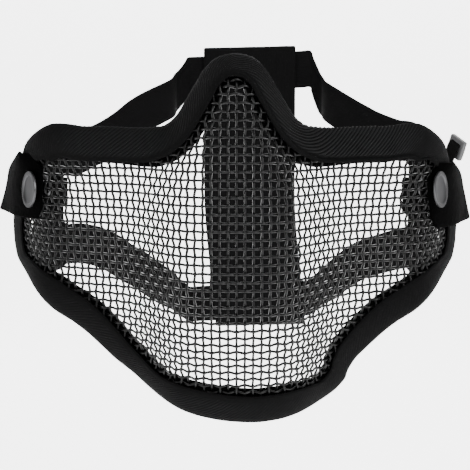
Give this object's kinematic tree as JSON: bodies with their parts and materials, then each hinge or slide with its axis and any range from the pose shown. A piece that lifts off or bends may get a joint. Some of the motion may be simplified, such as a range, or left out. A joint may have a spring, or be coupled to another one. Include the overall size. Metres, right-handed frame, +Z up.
{
  "type": "mesh face mask",
  "caption": "Lower-face mask of pressed black wire mesh with a cloth-bound edge, snap-fastened side tabs and an elastic harness with a back band.",
  "frame": {"origin": "rear face of the binding where it sits on the bridge of the nose, on the middle plane of the mask", "axes": "-Y is out of the front of the mask, +Y towards the back of the head, +X to the right of someone looking at the front, +Z up"},
  "size_m": [0.2228, 0.1892, 0.1625],
  "materials": {
    "black_wire": "satin black coated steel wire cloth",
    "black_tape": "ribbed woven tape, matte",
    "black_tab_cloth": "napped loop cloth, matte",
    "black_elastic": "knitted elastic, matte",
    "grey_metal": "worn satin grey",
    "grey_plastic": "moulded, semi-gloss"
  },
  "bodies": {
    "root": {"face_mesh": "black_wire", "edge_binding": "black_tape", "tab_left": "black_tab_cloth", "tab_right": "black_tab_cloth", "snap_cap_left": "grey_metal", "snap_cap_right": "grey_metal", "snap_back_left": "grey_metal", "snap_back_right": "grey_metal", "elastic_strap": "black_elastic", "back_band": "black_elastic", "strap_slider": "grey_plastic", "strap_end_loop": "black_elastic"}
  },
  "joints": []
}
